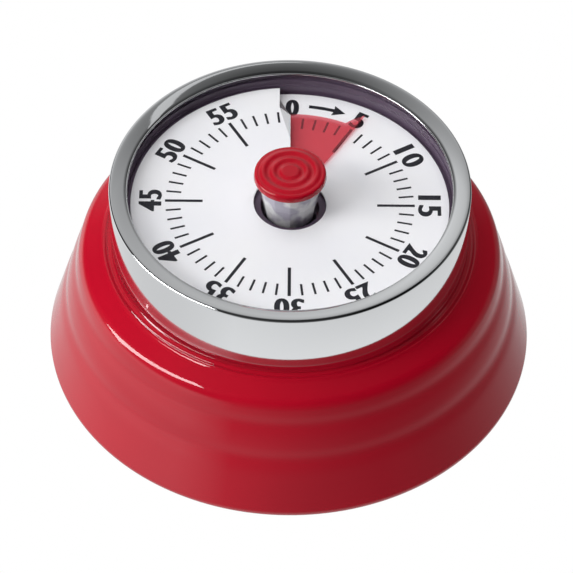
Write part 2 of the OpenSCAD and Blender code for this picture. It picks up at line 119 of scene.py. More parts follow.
@dataclass(frozen=True)
class Finish:
    """A surface made from one Principled shader, with grain from noise.

    Attributes:
        name: Material name, in a maker's words.
        colour: sRGB hex colour.
        metallic: 1 for bare metal.
        roughness: Middle roughness.
        spread: How far roughness wanders either side of the middle.
        grain_mm: Size of one grain of the surface.
        bump_mm: Height of the grain.
        coat: Weight of the clear lacquer.
        coat_roughness: Roughness of the lacquer.
        ior: Index of refraction, for what is not a metal.
        tint: Second colour that drifts in by tint_share.
        tint_share: How much of the second colour there is at most.
        tint_mm: Size of the drifting patches.
        stretch: Scale of the grain along X, Y and Z.
        specular: Specular level.
    """

    name: str
    colour: str
    metallic: float = 0.0
    roughness: float = 0.4
    spread: float = 0.03
    grain_mm: float = 0.5
    bump_mm: float = 0.002
    coat: float = 0.0
    coat_roughness: float = 0.03
    ior: float = 1.5
    tint: str = ""
    tint_share: float = 0.15
    tint_mm: float = 8.0
    stretch: tuple[float, float, float] = (1.0, 1.0, 1.0)
    specular: float = 0.5

    def build(self) -> bpy.types.Material:
        """Make the material, or return it if it has been made.

        Returns:
            The material.
        """
        known = bpy.data.materials.get(self.name)
        if known:
            return known
        material = bpy.data.materials.new(self.name)
        material.use_nodes = True
        tree = material.node_tree
        tree.nodes.clear()
        place = add_node(tree, "ShaderNodeTexCoord").outputs["Object"]
        turned = add_node(
            tree, "ShaderNodeMapping", inputs={"Vector": place, "Scale": self.stretch}
        ).outputs["Vector"]
        grain = self.noise(tree, turned, self.grain_mm, 3.0)
        rough = add_node(
            tree,
            "ShaderNodeMapRange",
            inputs={
                "Value": grain,
                "To Min": max(self.roughness - self.spread, 0.0),
                "To Max": self.roughness + self.spread,
            },
        ).outputs["Result"]
        bump = add_node(
            tree,
            "ShaderNodeBump",
            inputs={"Height": grain, "Distance": self.bump_mm * MM, "Strength": 1.0},
        ).outputs["Normal"]
        surface = add_node(
            tree,
            "ShaderNodeBsdfPrincipled",
            inputs={
                "Base Color": linear(self.colour),
                "Metallic": self.metallic,
                "Roughness": rough,
                "Normal": bump,
                "Coat Weight": self.coat,
                "Coat Roughness": self.coat_roughness,
                "Specular IOR Level": self.specular,
            },
        )
        if not self.metallic:
            surface.inputs["IOR"].default_value = self.ior
        if self.tint:
            drift = self.noise(tree, place, self.tint_mm, 2.0)
            share = add_node(
                tree,
                "ShaderNodeMapRange",
                inputs={"Value": drift, "From Min": 0.35, "From Max": 0.65, "To Max": self.tint_share},
            ).outputs["Result"]
            mixed = add_node(
                tree,
                "ShaderNodeMix",
                {"data_type": "RGBA"},
                {"Factor": share, 6: linear(self.colour), 7: linear(self.tint)},
            )
            tree.links.new(mixed.outputs[2], surface.inputs["Base Color"])
        add_node(tree, "ShaderNodeOutputMaterial", inputs={"Surface": surface.outputs[0]})
        return material

    @staticmethod
    def noise(tree: bpy.types.NodeTree, place: Socket, size_mm: float, detail: float) -> Socket:
        """Add a noise whose patches are size_mm across.

        Args:
            tree: The node tree.
            place: Coordinates in metres.
            size_mm: Size of one patch.
            detail: Octaves.

        Returns:
            The noise's value.
        """
        inputs = {"Vector": place, "Scale": 1 / (size_mm * MM), "Detail": detail}
        return add_node(tree, "ShaderNodeTexNoise", inputs=inputs).outputs["Fac"]


@dataclass(frozen=True)
class Film:
    """Translucent dyed film: part gloss surface, part clear red filter."""

    name: str = "dyed_polyester_film"
    colour: str = "da7480"
    through: str = "fdc2c8"
    clear_share: float = 0.8

    def build(self) -> bpy.types.Material:
        """Make the film's material."""
        material = bpy.data.materials.new(self.name)
        material.use_nodes = True
        tree = material.node_tree
        tree.nodes.clear()
        place = add_node(tree, "ShaderNodeTexCoord").outputs["Object"]
        ripple = Finish.noise(tree, place, 6.0, 1.0)
        bump = add_node(
            tree, "ShaderNodeBump", inputs={"Height": ripple, "Distance": 0.02 * MM}
        ).outputs["Normal"]
        face = add_node(
            tree,
            "ShaderNodeBsdfPrincipled",
            inputs={
                "Base Color": linear(self.colour),
                "Roughness": 0.3,
                "Normal": bump,
                "IOR": 1.57,
            },
        )
        clear = add_node(
            tree, "ShaderNodeBsdfTransparent", inputs={"Color": linear(self.through)}
        )
        mixed = add_node(
            tree,
            "ShaderNodeMixShader",
            inputs={0: self.clear_share, 1: face.outputs[0], 2: clear.outputs[0]},
        )
        add_node(tree, "ShaderNodeOutputMaterial", inputs={"Surface": mixed.outputs[0]})
        return material


@dataclass(frozen=True)
class ClearPlastic:
    """Polished clear acrylic. The pane is all but invisible; the solid stem is only partly clear, its
    colour painted with light and dark patches that stand in for refracted and reflected surroundings.
    """

    name: str
    pane: bool
    alpha: float = 1.0
    roughness: float = 0.02

    def build(self) -> bpy.types.Material:
        """Make the clear material."""
        material = bpy.data.materials.new(self.name)
        material.use_nodes = True
        tree = material.node_tree
        tree.nodes.clear()
        place = add_node(tree, "ShaderNodeTexCoord").outputs["Object"]
        flow = Finish.noise(tree, place, 3.0, 1.0)
        bump = add_node(
            tree, "ShaderNodeBump", inputs={"Height": flow, "Distance": 0.004 * MM}
        ).outputs["Normal"]
        surface = add_node(
            tree,
            "ShaderNodeBsdfPrincipled",
            inputs={
                # The stem's colour is painted with light and dark patches: painted refraction and
                # reflection of the surroundings.
                "Base Color": linear("101014") if self.pane else self.facet_colour(tree, place),
                "Roughness": self.roughness,
                "IOR": 1.49,
                "Normal": bump,
                "Transmission Weight": 0.0 if self.pane else 0.25,
                "Alpha": self.alpha,
            },
        )
        add_node(tree, "ShaderNodeOutputMaterial", inputs={"Surface": surface.outputs[0]})
        return material

    @staticmethod
    def facet_colour(
        tree: bpy.types.NodeTree, place: bpy.types.NodeSocket
    ) -> bpy.types.NodeSocket:
        """Paint a solid clear block with light and dark patches, a painted stand-in for the surroundings
        that cut acrylic refracts and reflects into view.

        Args:
            tree: The material's nodes.
            place: Place on the object.

        Returns:
            The colour.
        """
        # Light and dark patches painted into the colour stand in for the surroundings seen through and in
        # the facets.
        painted_refraction_patches = Finish.noise(tree, place, 2.6, 2.0)
        share = add_node(
            tree, "ShaderNodeMapRange", inputs={"Value": painted_refraction_patches, "From Min": 0.4, "From Max": 0.56}
        ).outputs["Result"]
        return add_node(
            tree, "ShaderNodeMix", {"data_type": "RGBA"},
            {"Factor": share, 6: linear("c4c0cf"), 7: linear("ffffff")},
        ).outputs[2]


# Stoving lacquer over a smooth shell: deep red under a hard clear gloss with faint orange peel.
# The clear coat carries the gloss, so the red under it hardly reflects on its own.
LACQUER = Finish(
    "red_stoving_lacquer", "ac0520", roughness=0.45, spread=0.04, grain_mm=2.2, bump_mm=0.004,
    coat=1.0, coat_roughness=0.02, tint="96041c", tint_share=0.3, tint_mm=20.0, specular=0.05,
)
# Decorative chrome on steel: a mirror with faint polishing marks round the rim.
CHROME = Finish(
    "decorative_chrome", "e6e8ea", metallic=1.0, roughness=0.05, spread=0.015, grain_mm=0.6,
    bump_mm=0.0006, stretch=(1.0, 1.0, 8.0),
)
# Moulded polystyrene with a satin tool finish: a dark plum that picks out the dial's edge.
PLUM = Finish(
    "plum_polystyrene", "5c4c60", roughness=0.35, spread=0.05, grain_mm=0.25, bump_mm=0.003,
    tint="463a4c", tint_share=0.3, tint_mm=5.0,
)
# Coated card for the dial: a soft, faintly cool white with a very fine grain.
CARD = Finish(
    "coated_dial_card", "fcfcff", roughness=0.5, spread=0.05, grain_mm=0.12, bump_mm=0.002,
    tint="f3f4fb", tint_share=0.4, tint_mm=9.0, specular=0.35,
)
# Screen printing ink lying on the card: a dense satin black, slightly uneven.
INK = Finish(
    "black_screen_ink", "1b1b22", roughness=0.45, spread=0.05, grain_mm=0.1, bump_mm=0.002,
    tint="2a2a33", tint_share=0.5, tint_mm=0.6,
)
# Injection moulded ABS from a polished tool: a clean glossy red with soft flow marks.
CAP_ABS = Finish(
    "red_gloss_abs", "a8061e", roughness=0.2, spread=0.03, grain_mm=1.2, bump_mm=0.003,
    coat=0.6, coat_roughness=0.04, tint="900418", tint_share=0.25, tint_mm=4.0, specular=0.2,
)
# ABS with a spark eroded texture: a dull near black with a fine even grain.
BLACK_ABS = Finish(
    "black_textured_abs", "1c1d1f", roughness=0.55, spread=0.08, grain_mm=0.35, bump_mm=0.02,
)
# Soft thermoplastic rubber: matt charcoal that scatters all highlights.
RUBBER = Finish("black_foot_rubber", "232325", roughness=0.8, spread=0.05, grain_mm=0.2, bump_mm=0.02)
# Free cutting steel off the lathe: bright grey with fine turning lines.
STEEL = Finish(
    "turned_steel", "b9bcc2", metallic=1.0, roughness=0.28, spread=0.08, grain_mm=0.15,
    bump_mm=0.001, stretch=(1.0, 1.0, 10.0),
)
# Zinc plated sheet steel: pale grey with a drawn grain and cloudy patches.
PLATE = Finish(
    "zinc_plated_sheet", "c3c5c9", metallic=1.0, roughness=0.35, spread=0.1, grain_mm=0.5,
    bump_mm=0.002, tint="a9acb3", tint_share=0.5, tint_mm=3.0, stretch=(1.0, 12.0, 1.0),
)
# Stamped and tumbled brass: warm yellow, satin, tarnished brown in patches.
BRASS = Finish(
    "stamped_brass", "c9a45a", metallic=1.0, roughness=0.3, spread=0.08, grain_mm=0.3,
    bump_mm=0.001, tint="a9823c", tint_share=0.4, tint_mm=2.0,
)
# Tempered spring steel: dark blue turning purple where the heat ran further.
BLUED = Finish(
    "blued_spring_steel", "3e4a66", metallic=1.0, roughness=0.3, spread=0.06, grain_mm=0.2,
    bump_mm=0.001, tint="5c4a5c", tint_share=0.5, tint_mm=2.0,
)
# Nickel plate on the bell: a warm bright metal, softer than chrome.
NICKEL = Finish(
    "nickel_plated_bell", "d2cfc8", metallic=1.0, roughness=0.15, spread=0.05, grain_mm=0.8,
    bump_mm=0.001,
)
# Pressed and sintered ferrite: dark grey, dry and slightly grainy.
FERRITE = Finish("sintered_ferrite", "3a3a3d", roughness=0.6, spread=0.1, grain_mm=0.2, bump_mm=0.01)


# ---------------------------------------------------------------- mesh helpers


def on_circle(radius: float, clockwise_deg: float, z: float) -> Vector:
    """Place a point by its clockwise angle from +Y, in metres."""
    a = math.radians(clockwise_deg)
    return Vector((radius * math.sin(a), radius * math.cos(a), z)) * MM


def arc(
    centre: ProfilePoint, radius: float, start: float, end: float, count: int
) -> list[ProfilePoint]:
    """List the points of an arc in the (r, z) plane.

    Args:
        centre: Centre of the arc.
        radius: Its radius.
        start: First angle in degrees, from +r towards +z.
        end: Last angle in degrees.
        count: Number of steps.

    Returns:
        count + 1 points.
    """
    angles = [math.radians(start + (end - start) * i / count) for i in range(count + 1)]
    return [(centre[0] + radius * math.cos(a), centre[1] + radius * math.sin(a)) for a in angles]


def rounded(corners: Sequence[tuple[float, float, float]], steps: int = 5) -> list[ProfilePoint]:
    """Round the corners of a closed outline.

    Args:
        corners: r, z and fillet radius of each corner.
        steps: Steps in a quarter turn of fillet.

    Returns:
        The outline's points.
    """
    made: list[ProfilePoint] = []
    count = len(corners)
    for i, (r, z, fillet) in enumerate(corners):
        here = Vector((r, z))
        before = Vector(corners[i - 1][:2]) - here
        after = Vector(corners[(i + 1) % count][:2]) - here
        half = before.angle(after) / 2
        if fillet <= 0 or half < 0.02 or half > math.pi / 2 - 0.02:
            made.append((r, z))
            continue
        reach = min(fillet / math.tan(half), before.length * 0.49, after.length * 0.49)
        size = reach * math.tan(half)
        centre = here + (before.normalized() + after.normalized()).normalized() * (size / math.sin(half))
        first = here + before.normalized() * reach - centre
        last = here + after.normalized() * reach - centre
        turn = first.angle_signed(last)
        n = max(2, round(steps * abs(turn) / (math.pi / 2)))
        for k in range(n + 1):
            a = -turn * k / n
            spot = Matrix.Rotation(a, 2) @ first + centre
            made.append((spot.x, spot.y))
    return made


def to_object(bm: bmesh.types.BMesh, name: str, crease_deg: float = 30.0) -> bpy.types.Object:
    """Turn a bmesh in metres to a smooth shaded object at the origin.

    Args:
        bm: The mesh. It is freed.
        name: Name of the object.
        crease_deg: Edges that bend more than this stay sharp.

    Returns:
        The object, linked to the scene.
    """
    mesh = bpy.data.meshes.new(name)
    bm.to_mesh(mesh)
    bm.free()
    mesh.shade_smooth()
    mesh.set_sharp_from_angle(angle=math.radians(crease_deg))
    made = bpy.data.objects.new(name, mesh)
    bpy.context.scene.collection.objects.link(made)
    return made


def spin_outline(
    outline: Sequence[ProfilePoint], steps: int = 160, closed: bool = True
) -> bmesh.types.BMesh:
    """Turn an outline in the (r, z) plane once round the Z axis.

    Args:
        outline: Points in millimetres.
        steps: Segments of the full turn.
        closed: Join the last point to the first.

    Returns:
        A closed bmesh in metres with its normals outwards.
    """
    bm = bmesh.new()
    verts = [bm.verts.new((r * MM, 0, z * MM)) for r, z in outline]
    pairs = list(zip(verts, verts[1:]))
    if closed:
        pairs.append((verts[-1], verts[0]))
    edges = [bm.edges.new(pair) for pair in pairs]
    bmesh.ops.spin(
        bm, geom=verts + edges, cent=(0, 0, 0), axis=(0, 0, 1), dvec=(0, 0, 0),
        angle=2 * math.pi, space=Matrix.Identity(4), steps=steps, use_merge=True,
        use_normal_flip=False, use_duplicate=False,
    )
    bmesh.ops.remove_doubles(bm, verts=bm.verts, dist=1e-7)
    bmesh.ops.recalc_face_normals(bm, faces=bm.faces)
    return bm


def dress(obj: bpy.types.Object, finish: "Finish | Film | ClearPlastic", body: Body) -> None:
    """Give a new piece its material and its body.

    Args:
        obj: The piece.
        finish: Its finish.
        body: The body it rides on.
    """
    obj.data.materials.clear()
    obj.data.materials.append(finish.build())
    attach(obj, body.value)
    LOG.info("%s: %d faces", obj.name, len(obj.data.polygons))


# ---------------------------------------------------------------- casing


@dataclass
class BodyShell:
    """Red shell: a cone with two shallow grooves under a rounded shoulder.

    Attributes:
        foot_r: Largest radius.
        rim_z: Height of the lower rim.
        shoulder_r: Radius at the top of the side wall.
        shoulder_z: Height of the top of the side wall.
        groove_depth: Depth of the grooves.
        seat_z: Height of the bezel's seat.
        wall: Thickness.
        bezel_r: Outer radius of the bezel.
        opening_r: Radius of the opening at the top.
        side_low: Height at which the side wall starts.
        tilt_deg: Lean of the side wall.
        grooves: Height and width of each groove.
    """

    foot_r: float = 34.8
    rim_z: float = 1.4
    shoulder_r: float = 30.12
    shoulder_z: float = 19.0
    groove_depth: float = 0.15
    seat_z: float = 21.7
    wall: float = 1.6
    bezel_r: float = 25.45
    opening_r: float = 25.0
    side_low: float = 2.8
    tilt_deg: float = 16.0
    grooves: tuple[tuple[float, float], ...] = ((11.1, 1.3), (16.6, 1.2))

    def side_r(self, z: float) -> float:
        """Radius of the side wall at a height."""
        t = (z - self.side_low) / (self.shoulder_z - self.side_low)
        radius = self.foot_r + (self.shoulder_r - self.foot_r) * t
        for middle, width in self.grooves:
            radius -= self.groove_depth * math.exp(-(((z - middle) / width) ** 2))
        return radius

    def outline(self) -> list[ProfilePoint]:
        """Closed outline of the wall."""
        count = 60
        inner_r = self.foot_r - self.wall - 0.2
        tilt = math.radians(self.tilt_deg)
        rim, bend, bead = 1.1, 2.4, 0.42
        points = [(inner_r + 0.15, self.rim_z)]
        points += arc(
            (self.foot_r - rim * math.cos(tilt), self.rim_z + rim), rim, -90, self.tilt_deg - 3, 9
        )
        span = self.shoulder_z - self.side_low
        points += [
            (self.side_r(z), z) for z in (self.side_low + span * i / count for i in range(count))
        ]
        points += arc(
            (self.shoulder_r - bend * math.cos(tilt), self.shoulder_z - bend * math.sin(tilt)),
            bend, self.tilt_deg, 66, 14,
        )
        points += [(self.bezel_r + 2.35, self.seat_z - 0.66), (self.bezel_r + 1.7, self.seat_z - 0.36)]
        points += arc((self.bezel_r + 1.0, self.seat_z - bead), bead, 40, 125, 8)
        points += [
            (self.bezel_r + 0.5, self.seat_z - 0.2),
            (self.bezel_r + 0.3, self.seat_z - 0.16),
            (self.bezel_r + 0.02, self.seat_z - 0.01),
            (self.opening_r, self.seat_z),
            (self.opening_r, 19.4),
            (26.5, 19.4),
            (26.5, 18.9),
            (self.shoulder_r - self.wall - 0.7, self.shoulder_z + 1),
            (self.shoulder_r - self.wall, self.shoulder_z),
            (inner_r, self.rim_z + 1.1),
            (inner_r, self.rim_z + 0.15),
        ]
        return points

    def build(self) -> None:
        """Build the shell."""
        shell = to_object(spin_outline(self.outline(), 192), "body_shell_lacquered", 40)
        dress(shell, LACQUER, Body.CASE)
        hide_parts("body_shell")


@dataclass
class Bezel:
    """Chromed ring with a smooth rolled lip.

    Attributes:
        outer_r: Outer radius.
        inner_r: Radius inside the wall.
        lip_r: Radius of the opening.
        bottom_z: Height of the lower edge.
        top_z: Height of the highest point.
    """

    outer_r: float = 25.45
    inner_r: float = 25.0
    lip_r: float = 22.85
    bottom_z: float = 21.7
    top_z: float = 32.35
    roll: float = 0.35
    lip_drop: float = 0.5

    def build(self) -> None:
        """Build the bezel."""
        roll = self.roll
        outline = [(self.inner_r, self.bottom_z), (self.outer_r - 0.06, self.bottom_z)]
        outline += [(self.outer_r, self.bottom_z + 0.06)]
        outline += arc((self.outer_r - roll, self.top_z - roll), roll, 0, 88, 10)
        outline += [
            (self.lip_r + (self.outer_r - roll - self.lip_r) * t, self.top_z - self.lip_drop * self.fall(t))
            for t in (0.88, 0.76, 0.64, 0.52, 0.4, 0.28, 0.18)
        ]
        outline += arc((self.lip_r + 0.12, self.top_z - self.lip_drop - 0.12), 0.12, 65, 250, 8)
        outline += [(self.inner_r - 0.3, self.top_z - 0.72), (self.inner_r, self.top_z - 1)]
        bezel = to_object(spin_outline(outline, 192), "chrome_bezel_rolled", 35)
        dress(bezel, CHROME, Body.CASE)
        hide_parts("chrome_bezel")

    @staticmethod
    def fall(outwards: float) -> float:
        """Share of the lip's fall, 1 at the opening and 0 at the outer edge."""
        return (1 - outwards) ** 1.35


@dataclass
class DialHousing:
    """Plum moulding behind the dial: cup, flange and hub.

    Attributes:
        outer_r: Outer radius of the cup.
        inner_r: Inner radius of the cup.
        flange_r: Radius of the clamped flange.
        low_z: Height of the flange's lower face.
        rim_z: Height of the rim under the window.
        floor_z: Height of the floor's underside.
        bore_r: Radius of the hole for the stem.
    """

    outer_r: float = 24.98
    inner_r: float = 23.0
    flange_r: float = 26.4
    low_z: float = 18.2
    rim_z: float = 30.8
    floor_z: float = 25.4
    bore_r: float = 3.65

    def build(self) -> None:
        """Build the housing."""
        outline = rounded(
            [
                (self.bore_r, self.floor_z - 1.2, 0.1),
                (self.bore_r + 1.5, self.floor_z - 1.2, 0.2),
                (self.bore_r + 1.5, self.floor_z, 0.2),
                (self.inner_r, self.floor_z, 0.3),
                (self.inner_r, self.low_z, 0.1),
                (self.flange_r, self.low_z, 0.1),
                (self.flange_r, self.low_z + 1.15, 0.1),
                (self.outer_r, self.low_z + 1.15, 0.1),
                (self.outer_r, self.rim_z, 0.15),
                (self.inner_r + 0.75, self.rim_z, 0.12),
                (self.inner_r + 0.65, self.rim_z - 0.45, 0.1),
                (self.inner_r + 0.25, self.rim_z - 0.5, 0.1),
                (self.inner_r + 0.2, self.rim_z - 1.3, 0.1),
                (self.inner_r, self.rim_z - 1.4, 0.1),
                (self.inner_r, self.floor_z + 1.0, 0.3),
                (self.bore_r + 1.6, self.floor_z + 1.0, 0.2),
                (self.bore_r + 1.3, self.floor_z + 0.6, 0.2),
                (self.bore_r, self.floor_z + 0.6, 0.1),
            ],
            4,
        )
        housing = to_object(spin_outline(outline, 160), "dial_housing_moulded", 35)
        dress(housing, PLUM, Body.CASE)
        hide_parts("dial_housing")


# ---------------------------------------------------------------- dial


@dataclass
class Dial:
    """Slit spiral dial with its printed scale.

    Attributes:
        hole_r: Radius of the hole.
        outer_r: Outer radius.
        low_z: Height of the upper face at zero.
        pitch: Rise in one turn.
        sheet: Thickness.
        lap_deg: Angle that runs on under the upper end.
        notch_in: Radius where the notch in the upper end starts.
        notch_out: Radius from which the notch has its full depth.
        notch: Depth of the notch, along the circle.
        turn_deg: Clockwise turn of the printed scale.
        ink_t: Thickness of the ink.
        minor: Inner radius, outer radius and width of a minute tick.
        major: Inner radius, outer radius and width of a five minute tick.
        figure_r: Radius that the figures stand on.
        figure_h: Height of a figure.
        figure_w: Widths of a number with one digit and with two.
        zero_aside_deg: How far the zero stands clockwise of its place, clear of the notch.
        weight: How far a figure's outline grows across and along, to thicken its stems.
    """

    hole_r: float = 5.1
    outer_r: float = 22.5
    low_z: float = 28.15
    pitch: float = 1.3
    sheet: float = 0.3
    lap_deg: float = 5.0
    notch_in: float = 16.9
    notch_out: float = 18.6
    notch: float = 1.6
    turn_deg: float = 0.0
    ink_t: float = 0.012
    minor: tuple[float, float, float] = (15.42, 17.54, 0.33)
    major: tuple[float, float, float] = (12.29, 17.6, 0.46)
    figure_r: float = 18.05
    figure_h: float = 3.25
    figure_w: tuple[float, float] = (1.95, 4.15)
    zero_aside_deg: float = 0.7
    weight: tuple[float, float] = (0.22, 0.06)

    def rise(self, clockwise_deg: float) -> float:
        """Height of the dial's upper face at an angle."""
        return self.low_z + self.pitch * clockwise_deg / 360

    def build(self) -> None:
        """Build the sheet and its print."""
        self.build_sheet()
        self.build_print()

    def build_sheet(self) -> None:
        """Spin a radial strip into a helix and notch its upper end."""
        bm = bmesh.new()
        radii = [self.hole_r, self.hole_r + 0.06, 8.0, 12.0, self.notch_in, self.notch_out, 20.5,
                 self.outer_r - 0.06, self.outer_r]
        start = -self.lap_deg
        top = [(r, self.rise(start)) for r in radii[1:-1]]
        low = [(r, self.rise(start) - self.sheet) for r in reversed(radii[1:-1])]
        middle = self.rise(start) - self.sheet / 2
        ring = top + [(self.outer_r, middle)] + low + [(self.hole_r, middle)]
        verts = [bm.verts.new(on_circle(r, start, z)) for r, z in ring]
        face = bm.faces.new(verts)
        sweep = 360 - start
        steps = 180
        bmesh.ops.spin(
            bm, geom=[face, *face.edges, *face.verts], cent=(0, 0, 0), axis=(0, 0, 1),
            dvec=(0, 0, self.pitch * sweep / 360 / steps * MM), angle=-math.radians(sweep),
            space=Matrix.Identity(4), steps=steps, use_merge=False, use_normal_flip=False,
            use_duplicate=False,
        )
        self.cut_notch(bm)
        bmesh.ops.remove_doubles(bm, verts=bm.verts, dist=1e-7)
        bmesh.ops.recalc_face_normals(bm, faces=bm.faces)
        sheet = to_object(bm, "dial_sheet", 50)
        dress(sheet, CARD, Body.CASE)
        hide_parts("dial_disc")

    def cut_notch(self, bm: bmesh.types.BMesh) -> None:
        """Draw the upper end back beyond the notch radius, so that the zero shows."""
        reach_deg = 14.0
        for vert in bm.verts:
            radius = math.hypot(vert.co.x, vert.co.y) / MM
            angle = math.degrees(math.atan2(vert.co.x, vert.co.y)) % 360
            upper = vert.co.z / MM > self.low_z + self.pitch / 2 - self.sheet
            if angle < 1 and upper:
                angle += 360
            if not upper or angle < 360 - reach_deg or radius < self.notch_out - 0.01:
                continue
            back = math.degrees(self.notch / radius) * (angle - 360 + reach_deg) / reach_deg
            turn = Matrix.Rotation(math.radians(back), 3, "Z")
            vert.co = turn @ vert.co
            vert.co.z -= self.pitch * back / 360 * MM

    def build_print(self) -> None:
        """Print the ticks, the figures and the arrow."""
        ink = bmesh.new()
        for minute in range(60):
            if minute == 0:
                continue
            size = self.major if minute % 5 == 0 else self.minor
            self.tick(ink, minute * 6 + self.turn_deg, *size)
        self.arrow(ink)
        self.figures(ink)
        scale = to_object(ink, "dial_print", 60)
        dress(scale, INK, Body.CASE)

    def lay(self, bm: bmesh.types.BMesh, verts: list, centre_deg: float) -> None:
        """Bend flat ink, drawn with +Y outwards at angle 0, down on the dial.

        Args:
            bm: The bmesh.
            verts: Its new vertices, in millimetres.
            centre_deg: Where the middle of the shape goes.
        """
        for vert in verts:
            x, y, up = vert.co
            radius = math.hypot(x, y)
            angle = math.degrees(math.atan2(x, y)) + centre_deg
            vert.co = on_circle(radius, angle, self.rise(angle) + up)

    def thicken(self, bm: bmesh.types.BMesh, faces: list) -> list:
        """Give flat ink its thickness and return all its vertices."""
        made = bmesh.ops.extrude_face_region(bm, geom=faces)
        raised = [g for g in made["geom"] if isinstance(g, bmesh.types.BMVert)]
        bmesh.ops.translate(bm, verts=raised, vec=(0, 0, self.ink_t))
        flat = {v for f in faces if f.is_valid for v in f.verts}
        return list(flat | set(raised))

    def tick(self, bm: bmesh.types.BMesh, deg: float, r0: float, r1: float, width: float) -> None:
        """Print one tick from r0 to r1."""
        half = width / 2
        verts = [bm.verts.new((x, y, 0.003)) for x, y in ((-half, r0), (half, r0), (half, r1), (-half, r1))]
        self.lay(bm, self.thicken(bm, [bm.faces.new(verts)]), deg)

    def arrow(self, bm: bmesh.types.BMesh) -> None:
        """Print the arrow that follows the scale from zero towards five."""
        shaft_r, half, head = 20.05, 0.31, 1.0
        tail_deg, neck_deg, tip_deg = 7.6, 18.2, 23.2
        count = 12
        rows = [tail_deg + (neck_deg - tail_deg) * i / count for i in range(count + 1)]
        outer = [bm.verts.new((*self.polar(shaft_r + half, a), 0.003)) for a in rows]
        inner = [bm.verts.new((*self.polar(shaft_r - half, a), 0.003)) for a in rows]
        faces = [
            bm.faces.new((outer[i], outer[i + 1], inner[i + 1], inner[i])) for i in range(count)
        ]
        barb_deg = neck_deg - 0.4
        high = bm.verts.new((*self.polar(shaft_r + head, barb_deg), 0.003))
        low = bm.verts.new((*self.polar(shaft_r - head, barb_deg), 0.003))
        tip = bm.verts.new((*self.polar(shaft_r, tip_deg), 0.003))
        faces.append(bm.faces.new((outer[-1], high, tip, low, inner[-1])))
        self.lay(bm, self.thicken(bm, faces), self.turn_deg)

    @staticmethod
    def polar(radius: float, clockwise_deg: float) -> tuple[float, float]:
        """Flat place of a point, clockwise from +Y, in millimetres."""
        a = math.radians(clockwise_deg)
        return radius * math.sin(a), radius * math.cos(a)

    def figures(self, bm: bmesh.types.BMesh) -> None:
        """Print 0, 5, ... 55 with their tops outwards."""
        for minute in range(0, 60, 5):
            flat = self.figure_mesh(str(minute))
            before = set(bm.verts)
            known = set(bm.faces)
            bm.from_mesh(flat)
            bpy.data.meshes.remove(flat)
            loose = [v for v in bm.verts if v not in before and not v.link_faces]
            bmesh.ops.delete(bm, geom=loose, context="VERTS")
            verts = [v for v in bm.verts if v not in before]
            faces = [f for f in bm.faces if f not in known]
            bmesh.ops.translate(bm, verts=verts, vec=(0, self.figure_r, 0.003))
            aside = self.zero_aside_deg if minute == 0 else 0.0
            self.lay(bm, self.thicken(bm, faces), minute * 6 + self.turn_deg + aside)

    def figure_mesh(self, word: str) -> bpy.types.Mesh:
        """Make one number as a flat bold condensed mesh.

        Args:
            word: The digits.

        Returns:
            A mesh in millimetres, centred on x = 0 and standing on y = 0.
        """
        curve = bpy.data.curves.new("figure", "FONT")
        curve.body = word
        curve.resolution_u = 6
        curve.space_character = 1.12
        source = bpy.data.objects.new("figure", curve)
        bpy.context.scene.collection.objects.link(source)
        graph = bpy.context.evaluated_depsgraph_get()
        mesh = bpy.data.meshes.new_from_object(source.evaluated_get(graph))
        bpy.data.objects.remove(source)
        bpy.data.curves.remove(curve)
        xs = [v.co.x for v in mesh.vertices]
        ys = [v.co.y for v in mesh.vertices]
        width = self.figure_w[len(word) - 1]
        across, along = self.weight
        wide = (width - 2 * across) / (max(xs) - min(xs))
        tall = (self.figure_h - 2 * along) / (max(ys) - min(ys))
        to_size = Matrix.Diagonal((wide, tall, 1, 1))
        mesh.transform(to_size @ Matrix.Translation((-(max(xs) + min(xs)) / 2, -min(ys), 0)))
        self.embolden(mesh)
        mesh.transform(Matrix.Translation((0, along, 0)))
        return mesh

    def embolden(self, mesh: bpy.types.Mesh) -> None:
        """Move a flat figure's outline outwards, more across than along, to thicken its stems.

        Args:
            mesh: The figure, in millimetres; it is changed in place.
        """
        bm = bmesh.new()
        bm.from_mesh(mesh)
        bmesh.ops.remove_doubles(bm, verts=bm.verts, dist=1e-4)
        normals: dict = {}
        for edge in bm.edges:
            if not edge.is_boundary:
                continue
            start, end = (v.co for v in edge.verts)
            side = Vector((end.y - start.y, start.x - end.x, 0)).normalized()
            inwards = edge.link_faces[0].calc_center_median() - (start + end) / 2
            if side.dot(inwards) > 0:
                side.negate()
            for vert in edge.verts:
                normals.setdefault(vert, []).append(side)
        across, along = self.weight
        for vert, sides in normals.items():
            if len(sides) != 2:
                continue
            mitre = (sides[0] + sides[1]) / max(1 + sides[0].dot(sides[1]), 0.5)
            vert.co.x += mitre.x * across
            vert.co.y += mitre.y * along
        bm.to_mesh(mesh)
        bm.free()


